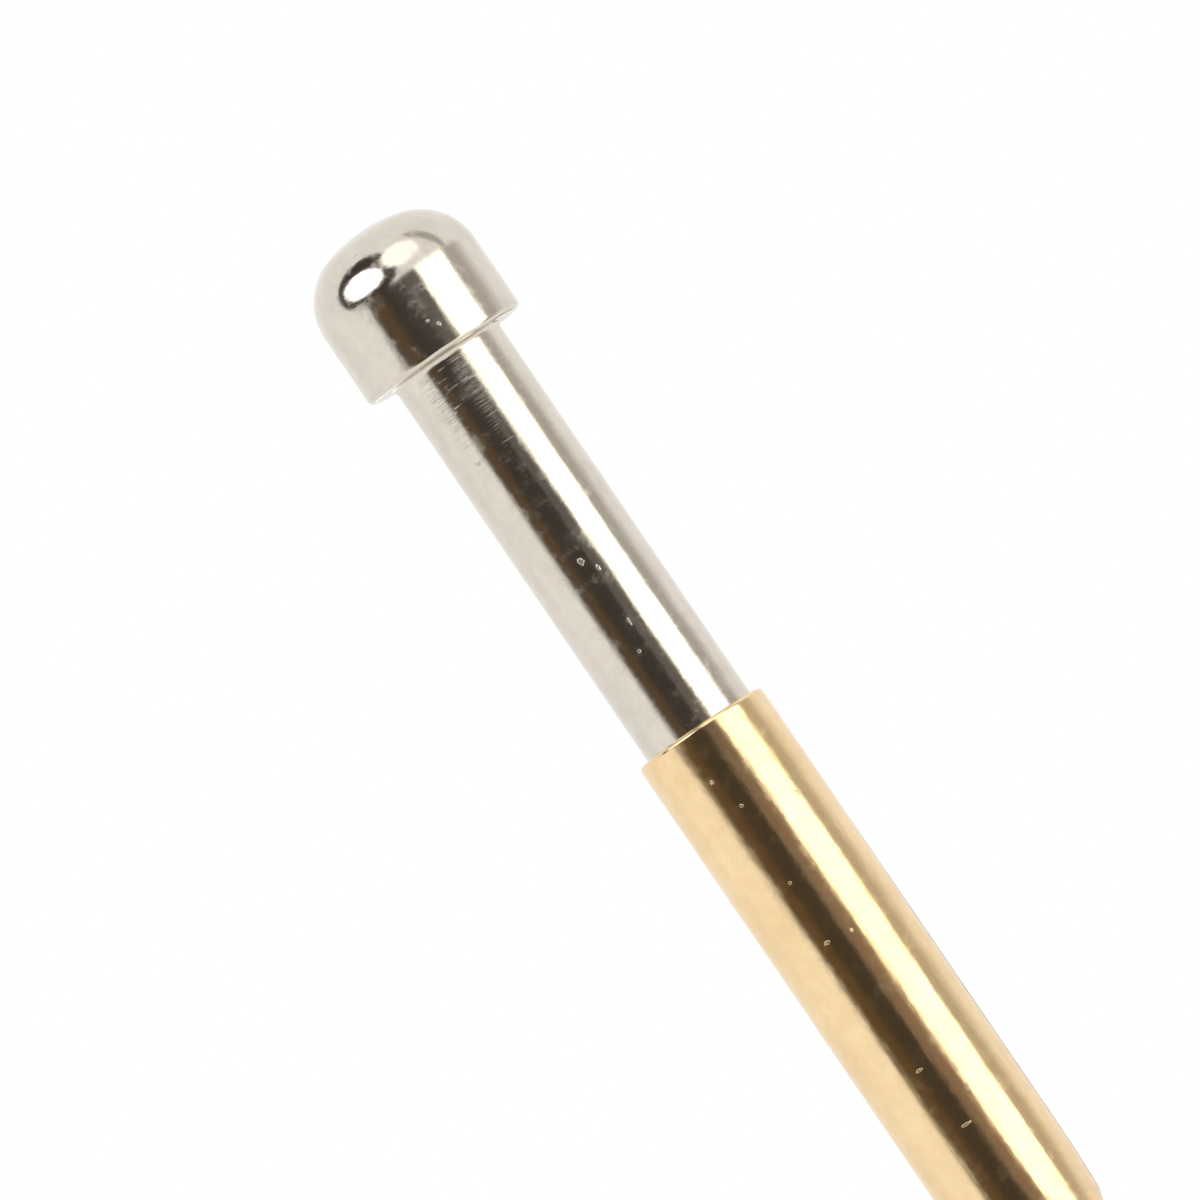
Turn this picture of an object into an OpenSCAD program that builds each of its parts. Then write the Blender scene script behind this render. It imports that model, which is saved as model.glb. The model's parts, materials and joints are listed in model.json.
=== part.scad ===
// Spring-loaded contact pin for contacts 75 mil (1.9 mm) apart. A plunger with a domed head slides
// in a drawn barrel over a coil spring, and dents punched into the barrel hold it in.
// The axis is Z, the origin is the centre of the closed tail end, and the head points to +Z.
// The pin is drawn at rest, with the spring holding the plunger all the way out.

/* [Barrel] */
// Outside diameter of the barrel
barrel_d = 1.02; // [0.9:0.01:1.3]
// Length of the barrel, from its tail end to its mouth
barrel_l = 12.32; // [11:0.01:18]
// Thickness of the drawn wall
wall = 0.065; // [0.05:0.005:0.08]
// Outside radius on the spun-in tail end
tail_round = 0.32; // [0.2:0.01:0.4]
// Diameter of the vent hole that spinning leaves in the tail end
vent_d = 0.3; // [0.1:0.01:0.35]
// Radius on the outer edge of the mouth
mouth_round = 0.035; // [0.01:0.005:0.045]

/* [Crimp] */
// Length over which crimping draws the barrel in a little all round
crimp_l = 0.56; // [0.56:0.01:0.8]
// Depth of that waist
crimp_depth = 0.015; // [0.01:0.001:0.02]
// Number of dents round the barrel
dent_count = 3; // [2:1:4]
// Distance of the crimp's and the dents' centres below the mouth
dent_drop = 4.46; // [4.2:0.01:5.5]
// Depth of a dent in the outside of the barrel
dent_depth = 0.12; // [0.09:0.01:0.15]
// Radius of the punched hollow
dent_hollow_r = 0.3; // [0.25:0.01:0.35]
// Radius over which the wall bends into the hollow
dent_shoulder_r = 0.21; // [0.15:0.01:0.3]

/* [Plunger] */
// Diameter of the head
head_d = 1.26; // [1.1:0.01:1.6]
// Height of the head
head_h = 1.05; // [0.8:0.01:1.5]
// Radius of the dome on the head
dome_r = 1.07; // [0.9:0.01:1.6]
// Radius between the dome and the side of the head
dome_corner_r = 0.45; // [0.2:0.01:0.5]
// Radius on the lower edge of the head
head_edge_r = 0.05; // [0.02:0.01:0.1]
// Radius of the fillet under the head
head_fillet_r = 0.05; // [0.02:0.01:0.1]
// Length of shaft that shows between the head and the mouth
exposed_l = 3.13; // [3.05:0.01:5]
// Travel of the plunger
stroke = 2.65; // [1:0.05:3]
// Length of the bearing at the plunger's tail
bearing_l = 0.9; // [0.6:0.05:1.5]
// Chamfer on the plunger's tail
tail_chamfer = 0.06; // [0.02:0.01:0.1]

/* [Spring] */
// Diameter of the spring wire
wire_d = 0.13; // [0.1:0.005:0.15]
// Turns wound close at each end of the spring
closed_turns = 1; // [1:1:2]

/* [Fits] */
// Radial clearance of the plunger in the bore
slide_gap = 0.015; // [0.01:0.005:0.03]
// Clearance between the dents and the plunger's neck
neck_gap = 0.025; // [0.015:0.005:0.05]
// Clearance between the dents and the plunger's shoulders at each end of the travel
stop_gap = 0.03; // [0.01:0.005:0.05]
// Radial clearance of the spring in the bore
spring_gap = 0.04; // [0.02:0.005:0.05]
// Clearance between the spring and its seats
seat_gap = 0.01; // [0.005:0.005:0.02]
// Free length left in the spring at full travel, at least
solid_gap = 0.25; // [0.15:0.05:0.5]

/* [Hidden] */

gold = [0.93, 0.76, 0.42];
nickel = [0.80, 0.78, 0.74];
steel = [0.62, 0.62, 0.62];

$fn = 96;
// How far a cutting shape runs past what it cuts
cut_over = 0.1;
// Height of the dents' shoulders over the wall, so that their surfaces cross and don't just touch
shoulder_lift = 0.004;

// Barrel
barrel_r = barrel_d / 2;
bore_r = barrel_r - wall;
// Inside radius and centre of the spun-in end
end_bore_r = tail_round - wall;
end_centre_r = barrel_r - tail_round;

// Crimp: one long arc in the barrel's outline, at the height of the dents
dent_z = barrel_l - dent_drop;
crimp_r = (pow(crimp_l / 2, 2) + pow(crimp_depth, 2)) / (2 * crimp_depth);
crimp_centre_r = barrel_r - crimp_depth + crimp_r;

// Dents: a ball-shaped hollow and a shoulder, two arcs that meet at dent_angle from the dent's axis.
// The inner face of the wall is the same curve, one wall further in.
dent_arcs = dent_hollow_r + dent_shoulder_r;
dent_angle = acos(1 - (dent_depth + shoulder_lift) / dent_arcs);
// Centre of the hollow's arc, from the barrel's axis
hollow_x = barrel_r - dent_depth + dent_hollow_r;
// Centre of the shoulder's arc, from the barrel's axis and from the dent's
shoulder_x = hollow_x - dent_arcs * cos(dent_angle);
shoulder_u = dent_arcs * sin(dent_angle);
// How far in the dents reach, and half their length where they meet the plunger's full radius
dent_reach_r = barrel_r - dent_depth - wall;

// Plunger
shaft_r = bore_r - slide_gap;
neck_r = dent_reach_r - neck_gap;
dent_half_l = dent_half_length(shaft_r);
neck_top_z = dent_z + dent_half_l + stop_gap + stroke;
neck_bottom_z = dent_z - dent_half_l - stop_gap;
plunger_tail_z = neck_bottom_z - bearing_l;
head_z = barrel_l + exposed_l;
head_r = head_d / 2;
// Centre of the corner arc, and where the dome's arc passes into it
corner_x = head_r - dome_corner_r;
corner_z = head_h - dome_r + sqrt(pow(dome_r - dome_corner_r, 2) - pow(corner_x, 2));
corner_start_x = corner_x * dome_r / (dome_r - dome_corner_r);

// Spring: it stands on the curve of the spun-in end and carries the plunger's tail
spring_r = bore_r - spring_gap;
wire_r = wire_d / 2;
spring_z = end_floor_z(spring_r) + seat_gap;
spring_l = plunger_tail_z - seat_gap - spring_z;
turns = floor((spring_l - stroke - solid_gap) / wire_d);
// Pitch of the closed turns, which all but touch
closed_pitch = 1.04 * wire_d;
// Turns over which the pitch opens out
ramp_turns = 0.5;
open_turns = turns - 2 * closed_turns - ramp_turns;
open_pitch = (spring_l - closed_pitch * (2 * closed_turns + ramp_turns)) / open_turns;
turn_steps = 16;
wire_sides = 8;

// Half the length of a dent's inner side at radius r from the barrel's axis
function dent_half_length(r) =
    r < hollow_x - (dent_hollow_r + wall) * cos(dent_angle)
        ? sqrt(pow(dent_hollow_r + wall, 2) - pow(hollow_x - r, 2))
        : shoulder_u - sqrt(pow(dent_shoulder_r - wall, 2) - pow(r - shoulder_x, 2));

// Height of the inside of the spun-in end at radius r
function end_floor_z(r) =
    tail_round - sqrt(pow(end_bore_r, 2) - pow(max(0, r - end_centre_r), 2));

// Height of the wire's centre above the foot of the spring, t turns up. The pitch is closed_pitch
// at the ends and open_pitch between, and changes evenly from one to the other.
function wire_z(t) = t > turns / 2 ? spring_l - lower_wire_z(turns - t) : lower_wire_z(t);
function lower_wire_z(t) =
    closed_pitch * t
        + (open_pitch - closed_pitch) * (
            pow(min(max(t - closed_turns, 0), ramp_turns), 2) / (2 * ramp_turns)
                + max(t - closed_turns - ramp_turns, 0));

// A point on the wire's surface. The ends of the spring are ground flat.
function wire_point(step, side) =
    let (
        t = step / turn_steps,
        turn_angle = 360 * t,
        side_angle = 360 * side / wire_sides,
        r = spring_r - wire_r + wire_r * cos(side_angle),
        z = wire_z(t) + wire_r * sin(side_angle)
    )
    [r * cos(turn_angle), r * sin(turn_angle), spring_z + min(max(z, 0), spring_l)];

// Cuts a corner to a radius. The corner is at the origin and the material lies towards -X, -Y.
module corner_cut(r) {
    translate([-r, -r]) difference() {
        square(r + cut_over);
        circle(r);
    }
}

// Half section of a dent's hollow with its shoulder, drawn with the barrel's axis at y = 0 and
// the dent's axis at x = 0. inset moves the curve into the wall.
module dent_section(inset) {
    hollow_r = dent_hollow_r + inset;
    shoulder_r = dent_shoulder_r - inset;
    meet_u = hollow_r * sin(dent_angle);
    meet_x = hollow_x - hollow_r * cos(dent_angle);
    difference() {
        union() {
            intersection() {
                translate([0, hollow_x]) circle(hollow_r);
                square([meet_u, meet_x]);
            }
            polygon([
                [0, meet_x],
                [meet_u, meet_x],
                [shoulder_u, shoulder_x + shoulder_r],
                [shoulder_u, barrel_r + cut_over],
                [0, barrel_r + cut_over]
            ]);
        }
        translate([shoulder_u, shoulder_x]) circle(shoulder_r);
    }
}

// All the dents, as solids that reach in from outside the barrel
module dents(inset) {
    for (i = [0:dent_count - 1]) {
        rotate([0, 0, 360 * i / dent_count]) translate([0, 0, dent_z]) rotate([0, 90, 0])
            rotate_extrude() dent_section(inset);
    }
}

// Cuts the crimp's waist from a half section of the barrel. inset moves its arc into the wall.
module crimp_cut(inset) {
    translate([crimp_centre_r, dent_z]) circle(crimp_r + inset, $fn = 4 * $fn);
}

// Half section of the closed tube's outside
module barrel_outline() {
    difference() {
        square([barrel_r, barrel_l]);
        crimp_cut(0);
        translate([barrel_r, barrel_l]) corner_cut(mouth_round);
        translate([barrel_r, 0]) mirror([0, 1]) corner_cut(tail_round);
    }
}

// Half section of the closed tube's inside
module bore_outline() {
    difference() {
        translate([0, wall]) square([bore_r, barrel_l - wall + cut_over]);
        crimp_cut(wall);
        translate([bore_r, wall]) mirror([0, 1]) corner_cut(end_bore_r);
    }
}

module barrel() {
    color(gold) difference() {
        rotate_extrude() barrel_outline();
        dents(0);
        difference() {
            rotate_extrude() bore_outline();
            dents(wall);
        }
        translate([0, 0, -cut_over]) cylinder(d = vent_d, h = wall + 2 * cut_over);
    }
}

// Half section of the head, with its underside at y = 0
module head_section() {
    difference() {
        intersection() {
            square([head_r, head_h]);
            union() {
                square([head_r, corner_z]);
                translate([corner_x, corner_z]) circle(dome_corner_r);
                intersection() {
                    translate([0, head_h - dome_r]) circle(dome_r);
                    square([corner_start_x, head_h]);
                }
            }
        }
        translate([head_r, 0]) mirror([0, 1]) corner_cut(head_edge_r);
    }
}

// Half section of the fillet under the head, with the underside at y = 0
module head_fillet_section() {
    translate([shaft_r, 0]) difference() {
        translate([-shaft_r, -head_fillet_r]) square([shaft_r + head_fillet_r, head_fillet_r]);
        translate([head_fillet_r, -head_fillet_r]) circle(head_fillet_r);
    }
}

module plunger() {
    color(nickel) rotate_extrude() {
        translate([0, head_z]) {
            head_section();
            head_fillet_section();
        }
        translate([0, neck_top_z]) square([shaft_r, head_z + corner_z - neck_top_z]);
        translate([0, plunger_tail_z]) square([neck_r, neck_top_z + bearing_l - plunger_tail_z]);
        polygon([
            [0, plunger_tail_z],
            [shaft_r - tail_chamfer, plunger_tail_z],
            [shaft_r, plunger_tail_z + tail_chamfer],
            [shaft_r, neck_bottom_z],
            [0, neck_bottom_z]
        ]);
    }
}

module spring() {
    last_step = turns * turn_steps;
    points = [for (step = [0:last_step]) for (side = [0:wire_sides - 1]) wire_point(step, side)];
    skin = [
        for (step = [0:last_step - 1]) for (side = [0:wire_sides - 1])
            let (
                a = step * wire_sides + side,
                b = step * wire_sides + (side + 1) % wire_sides
            )
            [[a, b, b + wire_sides], [a, b + wire_sides, a + wire_sides]]
    ];
    // Each end face fans out from the side away from its seat
    low_tip = wire_sides / 4;
    high_tip = 3 * wire_sides / 4;
    ends = [
        for (side = [1:wire_sides - 2])
            let (
                low_a = (low_tip + side) % wire_sides,
                low_b = (low_tip + side + 1) % wire_sides,
                high_a = (high_tip + side) % wire_sides,
                high_b = (high_tip + side + 1) % wire_sides,
                last_ring = last_step * wire_sides
            )
            [
                [low_tip, low_b, low_a],
                [last_ring + high_tip, last_ring + high_a, last_ring + high_b]
            ]
    ];
    color(steel) polyhedron(points, [for (pair = concat(skin, ends)) each pair]);
}

barrel();
plunger();
spring();
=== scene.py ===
import json
import math

import bmesh
import bpy
from mathutils import Matrix, Vector


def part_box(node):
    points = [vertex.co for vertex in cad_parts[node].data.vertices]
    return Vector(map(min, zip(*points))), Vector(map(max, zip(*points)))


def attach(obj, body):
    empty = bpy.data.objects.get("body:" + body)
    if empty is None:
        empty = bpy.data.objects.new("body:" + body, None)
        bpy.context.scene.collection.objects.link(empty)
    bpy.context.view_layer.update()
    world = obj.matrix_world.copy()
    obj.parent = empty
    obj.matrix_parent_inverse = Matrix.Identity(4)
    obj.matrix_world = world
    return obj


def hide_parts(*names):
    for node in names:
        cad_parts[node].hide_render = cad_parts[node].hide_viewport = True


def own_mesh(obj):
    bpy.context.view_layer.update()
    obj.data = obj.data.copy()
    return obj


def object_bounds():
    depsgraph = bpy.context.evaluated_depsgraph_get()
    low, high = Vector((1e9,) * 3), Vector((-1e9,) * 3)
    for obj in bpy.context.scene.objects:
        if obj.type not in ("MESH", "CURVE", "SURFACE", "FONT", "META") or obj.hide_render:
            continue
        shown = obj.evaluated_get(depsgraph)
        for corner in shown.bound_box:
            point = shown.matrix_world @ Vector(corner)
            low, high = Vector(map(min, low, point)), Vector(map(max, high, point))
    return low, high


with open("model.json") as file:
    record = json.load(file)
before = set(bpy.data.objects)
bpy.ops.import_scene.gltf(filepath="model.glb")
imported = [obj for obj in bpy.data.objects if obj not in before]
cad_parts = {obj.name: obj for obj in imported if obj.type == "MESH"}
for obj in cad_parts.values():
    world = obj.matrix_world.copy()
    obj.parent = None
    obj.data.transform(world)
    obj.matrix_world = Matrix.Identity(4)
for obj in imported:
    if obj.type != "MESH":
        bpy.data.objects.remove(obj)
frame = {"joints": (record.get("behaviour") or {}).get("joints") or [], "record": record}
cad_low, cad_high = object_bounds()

# The finish of a spring-loaded contact pin. Lengths are metres, and angles are degrees unless a
# comment or docstring says otherwise. The pin's axis is Z, and an azimuth of 0 is towards the
# camera (-Y), with +X at 90.

MM = 0.001
mount = frame["record"]["mounts"][0]
slide = frame["joints"][0]

# ---------------------------------------------------------------- sizes

# barrel
BARREL_R = mount["dims"]["r_mm"] * MM
BARREL_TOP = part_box("barrel")[1].z
WALL = 0.065 * MM
BORE_R = BARREL_R - WALL
TAIL_ROUND = 0.32 * MM
VENT_R = 0.15 * MM
MOUTH_ROUND = 0.035 * MM

# the dents, and the crimp's waist at their height
DENT_COUNT = 3
DENT_DROP = 4.46 * MM
DENT_Z = BARREL_TOP - DENT_DROP
DENT_DEPTH = 0.12 * MM
DENT_HOLLOW_R = 0.3 * MM
DENT_SHOULDER_R = 0.21 * MM
RIM_BLEND = 0.02 * MM
CRIMP_HALF_L = 0.28 * MM
CRIMP_DEPTH = 0.015 * MM

# the wall that punching has drawn in round a dent; the last two are angles in radians
FLAT_DEPTH = 0.012 * MM
BORE_FLAT_SHARE = 0.5
FLAT_REACH = 0.72 * MM
FLAT_FADE = 0.45 * MM
FLAT_SPREAD = math.radians(55)
FLAT_TURN = math.radians(40)

# plunger; the neck is longer than the stroke by a dent's height in the bore and a gap at each end
TIP_Z = cad_high.z
HEAD_R = 0.63 * MM
HEAD_H = 1.05 * MM
DOME_R = 1.07 * MM
DOME_CORNER_R = 0.45 * MM
HEAD_EDGE_R = 0.05 * MM
HEAD_FILLET_R = 0.05 * MM
SHAFT_R = 0.43 * MM
NECK_R = 0.3 * MM
NECK_SPARE = 0.583 * MM
BEARING_L = 0.9 * MM
TAIL_CHAMFER = 0.06 * MM
STROKE = slide["range_m"][1]
PLUNGER_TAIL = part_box("plunger")[0].z
NECK_BOTTOM = PLUNGER_TAIL + BEARING_L
NECK_TOP = NECK_BOTTOM + STROKE + NECK_SPARE

# spring; its closed turns lie a little more than a wire's thickness apart
SPRING_LOW, SPRING_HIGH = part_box("spring")
SPRING_L = SPRING_HIGH.z - SPRING_LOW.z
SPRING_R = 0.405 * MM
WIRE_R = 0.065 * MM
SPRING_TURNS = 27
CLOSED_TURNS = 1
CLOSED_SPACING = 1.04
CLOSED_PITCH = CLOSED_SPACING * 2 * WIRE_R
RAMP_TURNS = 0.5

# how finely the meshes are divided, and the angles from which an edge is sharp; the dome's arc
# starts just off the apex, at an angle above the head's middle
ARC_STEP = 3.0
APEX_ANGLE = 89
HEAD_STEP = 0.05 * MM
SHAFT_STEP = 0.1 * MM
PLUNGER_TURNS = 192
WIRE_STEPS = 40
WIRE_SIDES = 12
SHARP_EDGE = 40
SHARP_WIRE_EDGE = 50

# the barrel's mesh is finest at the height of the dents, and coarser by a factor in the zone of
# the flattened wall above and below them
DENT_HALF_H = 0.32 * MM
ZONE_HALF_H = 0.76 * MM
OUTSIDE_STEP = 0.012 * MM
BORE_STEP = 0.03 * MM
ZONE_COARSER = 3
STEP_BELOW_ZONE = 0.3 * MM
STEP_ABOVE_ZONE = 0.2 * MM

# round the barrel, its mesh is closest within an angle, in radians, to either side of each dent
DENT_SIDE = math.radians(32)
TURNS_AT_DENT = 84
TURNS_BETWEEN = 16

# a dent's place on the wall is searched for near it, by the cosine of the angle and by height,
# between a radius well inside the barrel and one past the wall
SEARCH_COS = 0.5
SEARCH_HALF_H = 0.4 * MM
SEARCH_LOW = 0.2 * MM
SEARCH_PAST = 0.1 * MM
SEARCH_HALVINGS = 18

# how steeply a dent's surface runs on outwards past its shoulder
RUN_OUT_SLOPE = 0.5


# ---------------------------------------------------------------- outlines

def arc(centre_r, centre_z, radius, start, end):
    """Points (r, z) on an arc; angles are measured from the outward radius, up towards +Z."""
    count = max(2, math.ceil(abs(end - start) / ARC_STEP))
    angles = [math.radians(start + (end - start) * i / count) for i in range(count + 1)]
    return [(centre_r + radius * math.cos(a), centre_z + radius * math.sin(a)) for a in angles]


def straight(start, end, step):
    """Points (r, z) from start up to, but without, end."""
    length = math.dist(start, end)
    count = max(1, math.ceil(length / step))
    return [tuple(s + (e - s) * i / count for s, e in zip(start, end)) for i in range(count)]


def head_outline():
    """From just off the apex of the dome to the fillet under the head."""
    corner_r = HEAD_R - DOME_CORNER_R
    reach = DOME_R - DOME_CORNER_R
    corner_z = TIP_Z - DOME_R + math.sqrt(reach ** 2 - corner_r ** 2)
    touch = math.degrees(math.acos(corner_r / reach))
    rim_z = TIP_Z - HEAD_H
    points = arc(0, TIP_Z - DOME_R, DOME_R, APEX_ANGLE, touch)
    points += arc(corner_r, corner_z, DOME_CORNER_R, touch, 0)[1:]
    points += straight((HEAD_R, corner_z), (HEAD_R, rim_z + HEAD_EDGE_R), HEAD_STEP)[1:]
    points += arc(HEAD_R - HEAD_EDGE_R, rim_z + HEAD_EDGE_R, HEAD_EDGE_R, 0, -90)
    points += arc(SHAFT_R + HEAD_FILLET_R, rim_z - HEAD_FILLET_R, HEAD_FILLET_R, 90, 180)
    return points


def plunger_outline():
    """From just off the apex down the shaft, the neck and the bearing to the tail."""
    points = head_outline()
    points += straight((SHAFT_R, points[-1][1]), (SHAFT_R, NECK_TOP), SHAFT_STEP)[1:]
    points += [
        (SHAFT_R, NECK_TOP),
        (NECK_R, NECK_TOP),
        (NECK_R, NECK_BOTTOM),
        (SHAFT_R, NECK_BOTTOM),
        (SHAFT_R, PLUNGER_TAIL + TAIL_CHAMFER),
        (SHAFT_R - TAIL_CHAMFER, PLUNGER_TAIL),
    ]
    return points


def crimp_radius(z, radius):
    """The barrel's radius at height z, drawn in by the crimp's long arc."""
    off = abs(z - DENT_Z)
    if off >= CRIMP_HALF_L:
        return radius
    return radius - CRIMP_DEPTH * (1 - (off / CRIMP_HALF_L) ** 2)


def barrel_side(radius, low, high, fine):
    """Points (r, z) up the barrel's side, with the steps at the dents as fine as asked for."""
    heights = (
        low, DENT_Z - ZONE_HALF_H, DENT_Z - DENT_HALF_H,
        DENT_Z + DENT_HALF_H, DENT_Z + ZONE_HALF_H, high,
    )
    zone = ZONE_COARSER * fine
    steps = (STEP_BELOW_ZONE, zone, fine, zone, STEP_ABOVE_ZONE)
    points = []
    for bottom, top, step in zip(heights, heights[1:], steps):
        points += straight((radius, bottom), (radius, top), step)
    return [(crimp_radius(z, r), z) for r, z in points]


def barrel_outline():
    """Up the outside of the closed tube and over its mouth, and up the bore."""
    centre_r = BARREL_R - TAIL_ROUND
    outside = [(VENT_R, 0)] + arc(centre_r, TAIL_ROUND, TAIL_ROUND, -90, 0)
    outside += barrel_side(BARREL_R, TAIL_ROUND, BARREL_TOP - MOUTH_ROUND, OUTSIDE_STEP)[1:]
    outside += arc(BARREL_R - MOUTH_ROUND, BARREL_TOP - MOUTH_ROUND, MOUTH_ROUND, 0, 90)
    inside = [(VENT_R, WALL)] + arc(centre_r, TAIL_ROUND, TAIL_ROUND - WALL, -90, 0)
    inside += barrel_side(BORE_R, TAIL_ROUND, BARREL_TOP, BORE_STEP)[1:]
    inside += [(BORE_R, BARREL_TOP)]
    return outside, inside


def plunger_turns():
    """Angles round the plunger, in radians from +X, evenly spaced."""
    return [2 * math.pi * i / PLUNGER_TURNS for i in range(PLUNGER_TURNS)]


def barrel_turns():
    """Angles round the barrel, in radians from +X, close together at the dents."""
    sector = 2 * math.pi / DENT_COUNT
    at_dent, between = 2 * DENT_SIDE, sector - 2 * DENT_SIDE
    turns = []
    for i in range(DENT_COUNT):
        start = i * sector
        turns += [start - DENT_SIDE + at_dent * k / TURNS_AT_DENT for k in range(TURNS_AT_DENT)]
        turns += [start + DENT_SIDE + between * k / TURNS_BETWEEN for k in range(TURNS_BETWEEN)]
    return turns


# ---------------------------------------------------------------- dents

def smoothstep(x):
    """0 up to 0 and 1 from 1 on, with a smooth rise between."""
    x = min(max(x, 0.0), 1.0)
    return x * x * (3 - 2 * x)


def smaller(a, b, blend):
    """The smaller of two lengths, with a smooth passage where they are nearly equal."""
    h = max(blend - abs(a - b), 0) / blend
    return min(a, b) - h * h * blend / 4


def dent_surface(distance, inset):
    """How far from the barrel's axis a dent's surface lies, at a distance from the dent's axis.

    inset is 0 for the outside of the wall, and the wall's thickness for the bore.
    """
    arcs = DENT_HOLLOW_R + DENT_SHOULDER_R
    angle = math.acos(1 - DENT_DEPTH / arcs)
    hollow_x = BARREL_R - DENT_DEPTH + DENT_HOLLOW_R
    hollow = DENT_HOLLOW_R + inset
    shoulder = DENT_SHOULDER_R - inset
    if distance < hollow * math.sin(angle):
        return hollow_x - math.sqrt(hollow ** 2 - distance ** 2)
    inwards = arcs * math.sin(angle) - distance
    shoulder_x = hollow_x - arcs * math.cos(angle)
    if inwards <= 0:
        return shoulder_x + shoulder - RUN_OUT_SLOPE * inwards
    return shoulder_x + math.sqrt(max(shoulder ** 2 - inwards ** 2, 0))


def dent_radius(radius, turn, z, inset):
    """How far out a ray from the barrel's axis meets a dent, at an angle in radians from it."""
    low, high = SEARCH_LOW, radius + SEARCH_PAST
    for _ in range(SEARCH_HALVINGS):
        middle = (low + high) / 2
        away = math.hypot(middle * math.sin(turn), z - DENT_Z)
        if middle * math.cos(turn) < dent_surface(away, inset):
            low = middle
        else:
            high = middle
    return low


def flattened(turn, z):
    """How far punching a dent has drawn in the wall, at an angle in radians from it."""
    along = smoothstep((FLAT_REACH - abs(z - DENT_Z)) / FLAT_FADE)
    angle = math.acos(math.cos(turn))
    return FLAT_DEPTH * along * smoothstep((FLAT_SPREAD - angle) / FLAT_TURN)


def dented_radius(radius, azimuth, z, inset):
    """The radius of the barrel's wall at an azimuth, in radians from +X, with the dents in it."""
    for i in range(DENT_COUNT):
        turn = azimuth - 2 * math.pi * i / DENT_COUNT
        radius -= flattened(turn, z) * (BORE_FLAT_SHARE if inset else 1)
        if math.cos(turn) >= SEARCH_COS and abs(z - DENT_Z) <= SEARCH_HALF_H:
            radius = smaller(radius, dent_radius(radius, turn, z, inset), RIM_BLEND)
    return radius


# ---------------------------------------------------------------- meshes

def add_object(name, data):
    """A new object in the scene, for a mesh, a lamp or a camera."""
    made = bpy.data.objects.new(name, data)
    bpy.context.scene.collection.objects.link(made)
    return made


def new_piece(name, mesh, material, body, node):
    """A piece that rides on a body and stands for its CAD node."""
    mesh.materials.append(material)
    piece = add_object(name, mesh)
    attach(piece, body)
    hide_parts(node)
    return piece


def mesh_from(name, bm):
    """A mesh of what was built, which is then let go."""
    mesh = bpy.data.meshes.new(name)
    bm.to_mesh(mesh)
    bm.free()
    return mesh


def mesh_of_rings(name, rings, closed=False, sharp=SHARP_EDGE):
    """A mesh whose rings of points are joined by quads. A ring of one point is a pole."""
    bm = bmesh.new()
    made = [[bm.verts.new(p) for p in points] for points in rings]
    pairs = list(zip(made, made[1:]))
    if closed:
        pairs.append((made[-1], made[0]))
    for a, b in pairs:
        count = max(len(a), len(b))
        for i in range(count):
            j = (i + 1) % count
            corners = [a[i % len(a)], a[j % len(a)], b[j % len(b)], b[i % len(b)]]
            face = list(dict.fromkeys(corners))
            if len(face) > 2:
                bm.faces.new(face)
    bmesh.ops.recalc_face_normals(bm, faces=bm.faces)
    mesh = mesh_from(name, bm)
    mesh.shade_smooth()
    mesh.set_sharp_from_angle(angle=math.radians(sharp))
    return mesh


def on_circle(r, turn, z):
    """The point at a radius, at an angle in radians from +X, and at a height."""
    return (r * math.cos(turn), r * math.sin(turn), z)


def make_plunger(material):
    """The turned plunger: domed head, shaft, neck and tail bearing."""
    turns = plunger_turns()
    rings = [[(0, 0, TIP_Z)]]
    rings += [[on_circle(r, turn, z) for turn in turns] for r, z in plunger_outline()]
    rings.append([(0, 0, PLUNGER_TAIL)])
    mesh = mesh_of_rings("plunger_turned", rings)
    new_piece("plunger_turned", mesh, material, "plunger", "plunger")


def make_barrel(material):
    """The drawn barrel, with its waist and dents in both faces of the wall."""
    turns = barrel_turns()
    outside, inside = barrel_outline()
    sides = [(outside, 0), (inside[::-1], WALL)]
    rings = [
        [on_circle(dented_radius(r, turn, z, inset), turn, z) for turn in turns]
        for points, inset in sides for r, z in points
    ]
    mesh = mesh_of_rings("barrel_drawn", rings, closed=True)
    new_piece("barrel_drawn", mesh, material, "barrel", "barrel")


def wire_height(turns):
    """Height of the wire's centre above the spring's foot, some turns up."""
    if turns > SPRING_TURNS / 2:
        return SPRING_L - wire_height(SPRING_TURNS - turns)
    shut = 2 * CLOSED_TURNS + RAMP_TURNS
    pitch = (SPRING_L - CLOSED_PITCH * shut) / (SPRING_TURNS - shut)
    past = max(turns - CLOSED_TURNS, 0)
    opened = min(past, RAMP_TURNS) ** 2 / (2 * RAMP_TURNS) + max(past - RAMP_TURNS, 0)
    return CLOSED_PITCH * turns + (pitch - CLOSED_PITCH) * opened


def wire_section(turns):
    """The ring of points round the wire, some turns up, ground flat at the spring's ends."""
    turn = 2 * math.pi * turns
    points = []
    for side in range(WIRE_SIDES):
        around = 2 * math.pi * side / WIRE_SIDES
        r = SPRING_R - WIRE_R + WIRE_R * math.cos(around)
        z = min(max(wire_height(turns) + WIRE_R * math.sin(around), 0), SPRING_L)
        points.append(on_circle(r, turn, SPRING_LOW.z + z))
    return points


def make_spring(material):
    """The wound spring, which rides on the barrel."""
    rings = [wire_section(i / WIRE_STEPS) for i in range(SPRING_TURNS * WIRE_STEPS + 1)]
    foot_end, head_end = [
        sum((Vector(p) for p in points), Vector()) / WIRE_SIDES for points in (rings[0], rings[-1])
    ]
    rings = [[foot_end[:]]] + rings + [[head_end[:]]]
    mesh = mesh_of_rings("spring_wound", rings, sharp=SHARP_WIRE_EDGE)
    piece = new_piece("spring_wound", mesh, material, "barrel", "spring")
    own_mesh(piece)


# ---------------------------------------------------------------- materials

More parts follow.
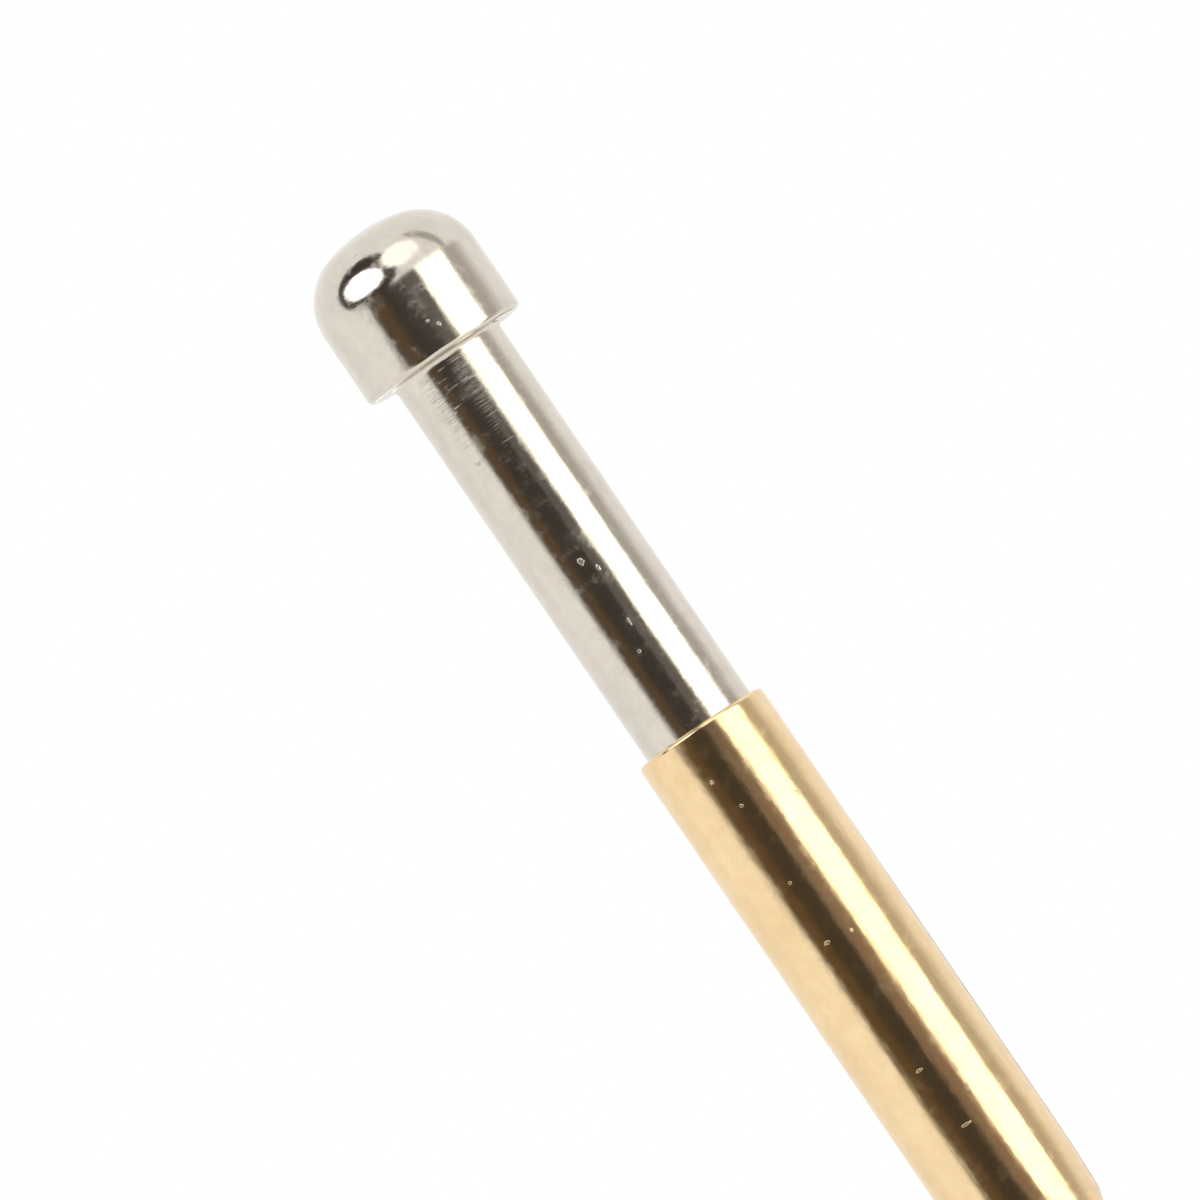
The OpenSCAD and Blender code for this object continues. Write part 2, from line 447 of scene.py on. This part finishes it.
NICKEL = (0.735, 0.675, 0.59, 1)
NICKEL_WORN = (0.635, 0.58, 0.50, 1)
GOLD = (0.905, 0.695, 0.415, 1)
GOLD_WORN = (0.82, 0.60, 0.335, 1)
STEEL = (0.55, 0.55, 0.56, 1)
STEEL_WORN = (0.45, 0.45, 0.46, 1)

# how finely each layer of the finish varies, per millimetre, or per millimetre of x, y and z
LINES_PER_MM = (1.5, 1.5, 26)
HAMMER_PER_MM = (5, 5, 3.5)
DRAWN_PER_MM = (9, 9, 0.7)
GRAIN_PER_MM = 16.0
CLOUD_PER_MM = (4, 4, 2)
BLOTCH_PER_MM = (3.2, 3.2, 2.2)
RAGGED_PER_MM = 55.0
SCUFF_PER_MM = 6.0
FINE_PER_MM = 9.0

# the turning lines: where below the head's rim they are faint and deep, over what height they
# fade above it, all in mm, and the share of their depth that is left in both directions
LINES_FAINT_AT = 1.3
LINES_DEEP_AT = 0.1
LINES_FADE = 0.05
LINES_LEFT_BELOW = 0.2
LINES_LEFT_ABOVE = 0.15

# pits: where in its cell one ends, how ragged its edge is, and which share of cells has none
PIT_EDGE = (0.11, 0.17)
PIT_FRAY = 0.16
PIT_LOT = (0.60, 0.62)

# bruised patches: where their edge fades and how ragged it is, in half sizes of the patch, and
# the roughness that a bruise adds
PATCH_EDGE = (1.5, 1.9)
PATCH_FRAY = 1.6
BRUISE_ROUGHNESS = 0.18

# between which noise levels the roughness, the scuffs, the tint and the grain change, and the
# share of the grain's depth that is left where it is faint
ROUGH_LEVELS = (0.3, 0.7)
SCUFF_LEVELS = (0.52, 0.64)
TINT_LEVELS = (0.36, 0.66)
GRAIN_LEVELS = (0.45, 0.7)
GRAIN_LEFT = 0.3


class Nodes:
    """A short way to write a node tree. Each method but the first gives a node or its result."""

    def __init__(self, tree):
        """Start with an empty tree."""
        self.tree = tree
        tree.nodes.clear()

    def add(self, kind, inputs=None, **settings):
        """A node, with each input linked to a socket or set to a value."""
        node = self.tree.nodes.new(kind)
        for key, value in settings.items():
            setattr(node, key, value)
        for key, value in (inputs or {}).items():
            if isinstance(value, bpy.types.NodeSocket):
                self.tree.links.new(value, node.inputs[key])
            else:
                node.inputs[key].default_value = value
        return node

    def stretched(self, vector, scale):
        """A vector, scaled along each axis."""
        node = self.add("ShaderNodeMapping", {"Vector": vector, "Scale": scale})
        return node.outputs["Vector"]

    def noise(self, vector, scale, detail, roughness):
        """Noise between 0 and 1. Its scale is one number, or one for each axis."""
        if isinstance(scale, tuple):
            vector = self.stretched(vector, scale)
            scale = 1.0
        node = self.add("ShaderNodeTexNoise", {
            "Vector": vector, "Scale": scale, "Detail": detail, "Roughness": roughness})
        return node.outputs["Fac"]

    def math(self, operation, a, b, clamp=False):
        """A sum, product or the like of two numbers."""
        node = self.add("ShaderNodeMath", {0: a, 1: b}, operation=operation, use_clamp=clamp)
        return node.outputs["Value"]

    def remap(self, value, old, new, smooth=False):
        """A number moved from one range into another, and kept inside it."""
        kind = "SMOOTHSTEP" if smooth else "LINEAR"
        node = self.add("ShaderNodeMapRange", {
            "Value": value, "From Min": old[0], "From Max": old[1],
            "To Min": new[0], "To Max": new[1]}, interpolation_type=kind)
        return node.outputs["Result"]


def new_material(name):
    """A material and its empty node tree."""
    material = bpy.data.materials.new(name)
    material.use_nodes = True
    return material, Nodes(material.node_tree)


def place_in_mm(n):
    """The point on the piece, in millimetres."""
    place = n.add("ShaderNodeTexCoord").outputs["Object"]
    return n.stretched(place, (1 / MM, 1 / MM, 1 / MM))


def near_rim(n, mm):
    """How deep the turning lines are: deepest just below the head's rim, and faint on the head."""
    height = n.add("ShaderNodeSeparateXYZ", {"Vector": mm}).outputs["Z"]
    rim = (TIP_Z - HEAD_H) / MM
    rise = (rim - LINES_FAINT_AT, rim - LINES_DEEP_AT)
    below = n.remap(height, rise, (LINES_LEFT_BELOW, 1), smooth=True)
    above = n.remap(height, (rim, rim + LINES_FADE), (1, LINES_LEFT_ABOVE))
    return n.math("MULTIPLY", below, above)


def pits(n, mm, per_mm, ragged):
    """1 in small pits, thin on the ground, and 0 between them."""
    cells = n.add("ShaderNodeTexVoronoi", {"Vector": mm, "Scale": per_mm})
    frayed = n.math("ADD", cells.outputs["Distance"], n.math("MULTIPLY", ragged, PIT_FRAY))
    pit = n.remap(frayed, PIT_EDGE, (1, 0), smooth=True)
    lot = n.add("ShaderNodeSeparateColor", {"Color": cells.outputs["Color"]}).outputs["Red"]
    return n.math("MULTIPLY", pit, n.remap(lot, PIT_LOT, (0, 1)))


def patch(n, mm, centre, size, ragged):
    """1 inside an oval patch with a ragged edge and 0 outside it, both in millimetres."""
    off = n.add("ShaderNodeVectorMath", {0: mm, 1: centre}, operation="SUBTRACT").outputs[0]
    scaled = n.add("ShaderNodeVectorMath", {0: off, 1: size}, operation="DIVIDE").outputs[0]
    away = n.add("ShaderNodeVectorMath", {0: scaled}, operation="LENGTH").outputs["Value"]
    frayed = n.math("ADD", away, n.math("MULTIPLY", ragged, PATCH_FRAY))
    return n.remap(frayed, PATCH_EDGE, (1, 0), smooth=True)


def bumps(n, layers):
    """The normal that layers of relief give: pairs of a height and its depth in millimetres."""
    normal = None
    for height, depth in layers:
        inputs = {"Strength": 1.0, "Distance": depth * MM, "Height": height}
        if normal:
            inputs["Normal"] = normal
        normal = n.add("ShaderNodeBump", inputs).outputs["Normal"]
    return normal


def plated(name, colour, worn, roughness, marks, nicks=()):
    """Bright plating over turned or drawn metal.

    roughness is the least and the most of it. marks gives the depth in mm of the turning lines,
    the hammered and the drawn waviness, the grain and the bruises, the pits per mm, and the
    roughness that scuffs add. nicks gives the centre and the half size, in mm, of each bruise.
    """
    material, n = new_material(name)
    mm = place_in_mm(n)

    lines = n.noise(mm, LINES_PER_MM, 4, 0.65)
    hammer = n.noise(mm, HAMMER_PER_MM, 2, 0.5)
    drawn = n.noise(mm, DRAWN_PER_MM, 3, 0.6)
    grain = n.noise(mm, GRAIN_PER_MM, 4, 0.65)
    cloud = n.noise(mm, CLOUD_PER_MM, 4, 0.6)
    blotch = n.noise(mm, BLOTCH_PER_MM, 3, 0.6)
    lines = n.math("MULTIPLY", lines, near_rim(n, mm))

    ragged = n.noise(mm, RAGGED_PER_MM, 2, 0.6)
    bruise = pits(n, mm, marks["pits_per_mm"], ragged)
    for centre, size in nicks:
        bruise = n.math("MAXIMUM", bruise, patch(n, mm, centre, size, ragged))

    rough = n.remap(cloud, ROUGH_LEVELS, roughness)
    rough = n.math("ADD", rough, n.math("MULTIPLY", bruise, BRUISE_ROUGHNESS))
    scuff = n.remap(n.noise(mm, SCUFF_PER_MM, 6, 0.75), SCUFF_LEVELS, (0, 1))
    rough = n.math("ADD", rough, n.math("MULTIPLY", scuff, marks["scuff"]), clamp=True)

    fine = n.noise(mm, FINE_PER_MM, 4, 0.65)
    dull = n.math("ADD", n.math("MULTIPLY", cloud, 0.5), n.math("MULTIPLY", fine, 0.5))
    tint = n.add("ShaderNodeMix", {
        "Factor": n.remap(dull, TINT_LEVELS, (0, 1)), "A": colour, "B": worn}, data_type="RGBA")

    grain = n.math("MULTIPLY", grain, n.remap(blotch, GRAIN_LEVELS, (GRAIN_LEFT, 1)))
    dug = n.math("MULTIPLY", bruise, ragged)
    normal = bumps(n, (
        (hammer, marks["hammer"]), (drawn, marks["drawn"]), (lines, marks["lines"]),
        (grain, marks["grain"]), (dug, marks["bruise"]),
    ))
    shader = n.add("ShaderNodeBsdfPrincipled", {
        "Base Color": tint.outputs["Result"], "Metallic": 1.0, "Roughness": rough,
        "Normal": normal})
    n.add("ShaderNodeOutputMaterial", {"Surface": shader.outputs["BSDF"]})
    return material


def on_surface(radius, azimuth, below_tip):
    """A point in mm on a round piece, at an azimuth and a distance in mm below the tip."""
    a = math.radians(azimuth)
    return (radius * math.sin(a) / MM, -radius * math.cos(a) / MM, TIP_Z / MM - below_tip)


def nickel_plating():
    """The plunger's plating, with turning lines below the head and a few nicks."""
    marks = {"lines": 0.005, "hammer": 0.002, "drawn": 0.0008, "grain": 0.0012, "bruise": 0.005,
             "pits_per_mm": 2.6, "scuff": 0.15}
    nicks = [
        (on_surface(HEAD_R, 3, 0.81), (0.013, 0.013, 0.010)),
        (on_surface(HEAD_R, 8, 0.87), (0.014, 0.014, 0.017)),
        (on_surface(SHAFT_R, -4, 2.78), (0.02, 0.02, 0.028)),
        (on_surface(SHAFT_R, 6, 2.88), (0.012, 0.012, 0.022)),
        (on_surface(SHAFT_R, 2, 3.31), (0.008, 0.008, 0.03)),
        (on_surface(SHAFT_R, -6, 3.52), (0.012, 0.03, 0.012)),
        (on_surface(SHAFT_R, -34, 1.81), (0.02, 0.02, 0.02)),
    ]
    return plated("nickel_plating", NICKEL, NICKEL_WORN, (0.09, 0.15), marks, nicks)


def gold_plating():
    """The barrel's plating, smoother and a little wavier, with a few specks and scratches."""
    marks = {"lines": 0.0007, "hammer": 0.0032, "drawn": 0.0014, "grain": 0.0012, "bruise": 0.0035,
             "pits_per_mm": 2.2, "scuff": 0.10}
    nicks = [
        (on_surface(BARREL_R, -16, 4.56), (0.014, 0.014, 0.016)),
        (on_surface(BARREL_R, -7, 4.81), (0.012, 0.012, 0.012)),
        (on_surface(BARREL_R, -10, 5.44), (0.014, 0.014, 0.012)),
        (on_surface(BARREL_R, -12, 5.93), (0.024, 0.024, 0.014)),
        (on_surface(BARREL_R, 9, 5.95), (0.012, 0.012, 0.014)),
        (on_surface(BARREL_R, -2, 7.51), (0.04, 0.02, 0.01)),
        (on_surface(BARREL_R, -9, 7.02), (0.03, 0.012, 0.01)),
    ]
    return plated("gold_plating", GOLD, GOLD_WORN, (0.11, 0.18), marks, nicks)


def spring_steel():
    """The spring's bare wire, duller than the plating."""
    marks = {"lines": 0.0004, "hammer": 0.001, "drawn": 0.0004, "grain": 0.0005, "bruise": 0.002,
             "pits_per_mm": 4.0, "scuff": 0.1}
    return plated("spring_steel", STEEL, STEEL_WORN, (0.25, 0.35), marks)


# ---------------------------------------------------------------- studio

# the photograph's view: a long macro lens that looks up slightly at the pin's head end, with the
# pin leaning across the frame; the sensor is in mm
VIEW_DISTANCE = 200 * MM
VIEW_RISE = 2.6
VIEW_ROLL = 34.26
AIM_BELOW_TIP = 3.055 * MM
AIM_SIDE = -0.071 * MM
FRAME_WIDTH = 8.339 * MM
SENSOR_WIDTH = 36
CLIP_NEAR = 1 * MM
CLIP_FAR = 10

# the cards stand on circles round the pin, from just under it to above its tip; those behind it
# end below the head
CARDS_R = 14 * MM
CARD_HEIGHTS = (-3 * MM, 20 * MM)
LOW_CARD_HEIGHTS = (-3 * MM, 13 * MM)
STREAK_TOP = 12.9 * MM
STREAK_FADE = 0.4 * MM
TOP_FADE = 2.5 * MM
CARD_COLUMNS = 48
CARD_ROWS = 60
DOME_RINGS = 16
DOME_COLUMNS = 48
MERGE_DISTANCE = 1e-7

# some cards stand a little further round beside the barrel, and from the pin's tip up: pairs of
# a height and a turn
SWAY = ((12.6 * MM, 4), (13.2 * MM, 0), (16.0 * MM, 0), (16.5 * MM, 2))

FLOOR_R = 300 * MM
FLOOR_SIDES = 96
FLOOR_GAP = 0.01 * MM
PAPER = (0.92, 0.92, 0.915, 1)
PAPER_FIBRE = (0.89, 0.89, 0.885, 1)
FIBRES_PER_M = 900.0
WORLD_LIGHT = 0.8
LAMP_DISTANCE = 0.3
LAMP_SIZE = 0.25


def direction(azimuth, elevation=0.0):
    """The unit vector that points to an azimuth and an elevation."""
    a, e = math.radians(azimuth), math.radians(elevation)
    return Vector((math.sin(a) * math.cos(e), -math.cos(a) * math.cos(e), math.sin(e)))


def make_camera():
    """The camera, at the photograph's viewing angle."""
    data = bpy.data.cameras.new("camera")
    camera = add_object("camera", data)
    bpy.context.scene.camera = camera
    aim = Vector((AIM_SIDE, 0, TIP_Z - AIM_BELOW_TIP))
    drop = VIEW_DISTANCE * math.tan(math.radians(VIEW_RISE))
    eye = Vector((0, -VIEW_DISTANCE, aim.z - drop))
    back = (eye - aim).normalized()
    roll = math.radians(VIEW_ROLL)
    up_hint = Vector((math.sin(roll), 0, math.cos(roll)))
    right = up_hint.cross(back).normalized()
    up = back.cross(right)
    camera.matrix_world = Matrix((
        (right.x, up.x, back.x, eye.x),
        (right.y, up.y, back.y, eye.y),
        (right.z, up.z, back.z, eye.z),
        (0, 0, 0, 1),
    ))
    data.sensor_width = SENSOR_WIDTH
    data.lens = data.sensor_width * (eye - aim).length / FRAME_WIDTH
    data.clip_start = CLIP_NEAR
    data.clip_end = CLIP_FAR


def card_paper(name, glow):
    """A glowing material that lets through what the mesh's cover layer leaves bare."""
    material, n = new_material(name)
    cover = n.add("ShaderNodeAttribute", attribute_name="cover").outputs["Fac"]
    light = n.add("ShaderNodeEmission", {"Color": (*glow, 1), "Strength": 1.0})
    clear = n.add("ShaderNodeBsdfTransparent")
    mix = n.add("ShaderNodeMixShader", {0: cover, 1: clear.outputs[0], 2: light.outputs[0]})
    n.add("ShaderNodeOutputMaterial", {"Surface": mix.outputs[0]})
    return material


def stage_card(name, glow, bm, rows, closed=False):
    """A card of rows of vertices, each joined end to end where closed, that only the metal's
    reflections see. glow is its light, where the white surroundings are 1."""
    count = len(rows[0])
    for low_row, high_row in zip(rows, rows[1:]):
        for i in range(count if closed else count - 1):
            j = (i + 1) % count
            bm.faces.new([low_row[i], low_row[j], high_row[j], high_row[i]])
    bmesh.ops.remove_doubles(bm, verts=bm.verts, dist=MERGE_DISTANCE)
    mesh = mesh_from(name, bm)
    mesh.shade_smooth()
    mesh.materials.append(card_paper(name, glow))
    ob = add_object(name, mesh)
    ob.visible_camera = False
    ob.visible_diffuse = False
    ob.visible_transmission = False
    ob.visible_volume_scatter = False
    ob.visible_shadow = False


def swayed(sway, high):
    """A card's turn about the pin at a height, from pairs of a height and a turn."""
    if not sway:
        return 0.0
    if high <= sway[0][0]:
        return sway[0][1]
    for (z0, turn0), (z1, turn1) in zip(sway, sway[1:]):
        if high <= z1:
            return turn0 + (turn1 - turn0) * smoothstep((high - z0) / (z1 - z0))
    return sway[-1][1]


def card(name, glow, radius, azimuths, feather, heights=CARD_HEIGHTS, ends=(0, TOP_FADE), sway=()):
    """A softbox or a flag: part of an upright cylinder round the pin, between two azimuths and
    two heights. feather gives the azimuths over which its left and right edges fade, ends the
    heights over which its foot and top do, and sway its turn about the pin at some heights."""
    bm = bmesh.new()
    cover = bm.verts.layers.float.new("cover")
    rows = []
    for row in range(CARD_ROWS + 1):
        high = heights[0] + (heights[1] - heights[0]) * row / CARD_ROWS
        shift = swayed(sway, high)
        line = []
        for column in range(CARD_COLUMNS + 1):
            azimuth = azimuths[0] + (azimuths[1] - azimuths[0]) * column / CARD_COLUMNS
            v = bm.verts.new(direction(azimuth + shift) * radius + Vector((0, 0, high)))
            edges = [
                (azimuth - azimuths[0], feather[0]), (azimuths[1] - azimuth, feather[1]),
                (high - heights[0], ends[0]), (heights[1] - high, ends[1]),
            ]
            v[cover] = math.prod(smoothstep(d / f) if f else 1.0 for d, f in edges)
            line.append(v)
        rows.append(line)
    stage_card(name, glow, bm, rows)


def dome_card(name, glow, radius, azimuth, elevation, half, soft):
    """As card, for what is over the head: an oval patch of a sphere round the head, with its
    centre at an azimuth and elevation, half its width and height in degrees, and the share of
    it over which its edge fades."""
    bm = bmesh.new()
    cover = bm.verts.layers.float.new("cover")
    centre = Vector((0, 0, TIP_Z - HEAD_H / 2))
    turn = Matrix.Rotation(math.radians(azimuth), 3, "Z")
    turn = turn @ Matrix.Rotation(math.radians(-elevation), 3, "X")
    wide, tall = (math.tan(math.radians(a)) for a in half)
    rows = []
    for i in range(DOME_RINGS + 1):
        line = []
        for j in range(DOME_COLUMNS):
            angle = 2 * math.pi * j / DOME_COLUMNS
            across = wide * i / DOME_RINGS * math.cos(angle)
            up = tall * i / DOME_RINGS * math.sin(angle)
            v = bm.verts.new(centre + turn @ (Vector((across, -1, up)).normalized() * radius))
            v[cover] = smoothstep((1 - i / DOME_RINGS) / soft)
            line.append(v)
        rows.append(line)
    stage_card(name, glow, bm, rows, closed=True)


def make_cards():
    """The cards behind the bands on the metal. Where two overlap, the nearer one shows."""
    card("bounce_left", (1.07, 1.07, 1.07), CARDS_R + 6 * MM, (-112, -44), (22, 6))
    card("flag_front", (0.062, 0.053, 0.046), CARDS_R + 5 * MM, (-59, 30), (21, 3), sway=SWAY)
    card("flag_warm", (0.118, 0.079, 0.044), CARDS_R + 4 * MM, (-53, -20), (14, 12), sway=SWAY)
    card("flag_streak", (0.15, 0.135, 0.125), CARDS_R + 3 * MM, (4, 30), (7, 2))
    card("flag_streak_low", (0.26, 0.195, 0.16), CARDS_R + 2 * MM, (5, 34), (6, 2),
         heights=(CARD_HEIGHTS[0], STREAK_TOP), ends=(0, STREAK_FADE))
    card("softbox_side", (2.3, 2.3, 2.08), CARDS_R, (23.5, 74.5), (10, 6), sway=SWAY)
    card("flag_side", (0.55, 0.52, 0.48), CARDS_R + 1 * MM, (73, 117), (2, 30), sway=SWAY)
    card("flag_back", (0.07, 0.06, 0.05), CARDS_R, (164, 194), (3, 12), LOW_CARD_HEIGHTS)
    card("softbox_back", (2.2, 2.2, 2.3), CARDS_R + 1 * MM, (-196, -166), (12, 3), LOW_CARD_HEIGHTS)
    dome_card("flag_top", (0.055, 0.046, 0.04), 28 * MM, -38, 38, (44, 40), 0.10)
    dome_card("softbox_top_left", (2.2, 2.2, 2.3), 27 * MM, -42, 36, (30, 20), 0.10)
    dome_card("softbox_top_right", (1.7, 1.65, 1.6), 26 * MM, 32, 46, (26, 22), 0.22)
    dome_card("flag_side_top", (0.5, 0.48, 0.46), 25 * MM, 84, 36, (7, 30), 0.3)


def floor_paper():
    """Pale paper with a faint fibre in it."""
    material, n = new_material("floor_paper")
    place = n.add("ShaderNodeTexCoord").outputs["Object"]
    fibre = n.noise(place, FIBRES_PER_M, 4, 0.6)
    tint = n.add("ShaderNodeMix", {
        "Factor": fibre, "A": PAPER_FIBRE, "B": PAPER}, data_type="RGBA")
    shader = n.add("ShaderNodeBsdfPrincipled", {
        "Base Color": tint.outputs["Result"], "Roughness": 0.9, "Specular IOR Level": 0.1})
    n.add("ShaderNodeOutputMaterial", {"Surface": shader.outputs["BSDF"]})
    return material


def make_floor():
    """A plain pale floor under the pin."""
    bm = bmesh.new()
    bmesh.ops.create_circle(bm, cap_ends=True, segments=FLOOR_SIDES, radius=FLOOR_R)
    mesh = mesh_from("floor", bm)
    mesh.materials.append(floor_paper())
    floor = add_object("floor", mesh)
    floor.location = (0, 0, cad_low.z - FLOOR_GAP)


def make_world():
    """White to the camera and in reflections, and a plain level of light otherwise."""
    world = bpy.data.worlds.new("studio")
    bpy.context.scene.world = world
    world.use_nodes = True
    n = Nodes(world.node_tree)
    path = n.add("ShaderNodeLightPath")
    seen = n.math("MAXIMUM", path.outputs["Is Camera Ray"], path.outputs["Is Glossy Ray"])
    seen = n.math("MAXIMUM", seen, path.outputs["Is Transmission Ray"])
    strength = n.remap(seen, (0, 1), (WORLD_LIGHT, 1.0))
    back = n.add("ShaderNodeBackground", {"Color": (1, 1, 1, 1), "Strength": strength})
    n.add("ShaderNodeOutputWorld", {"Surface": back.outputs[0]})


def soft_lamp(name, azimuth, elevation, power):
    """A square lamp that lights the floor and stays out of the metal's reflections."""
    lamp = bpy.data.lights.new(name, "AREA")
    lamp.size = LAMP_SIZE
    lamp.energy = power
    ob = add_object(name, lamp)
    target = Vector((0, 0, (cad_low.z + cad_high.z) / 2))
    ob.location = target + direction(azimuth, elevation) * LAMP_DISTANCE
    ob.rotation_euler = (target - ob.location).to_track_quat("-Z", "Y").to_euler()
    ob.visible_glossy = False


make_camera()
make_plunger(nickel_plating())
make_barrel(gold_plating())
make_spring(spring_steel())
make_cards()
make_floor()
make_world()
soft_lamp("lamp_key", azimuth=60, elevation=55, power=0.35)
soft_lamp("lamp_fill", azimuth=-70, elevation=40, power=0.15)
bpy.context.scene.view_settings.view_transform = "Standard"
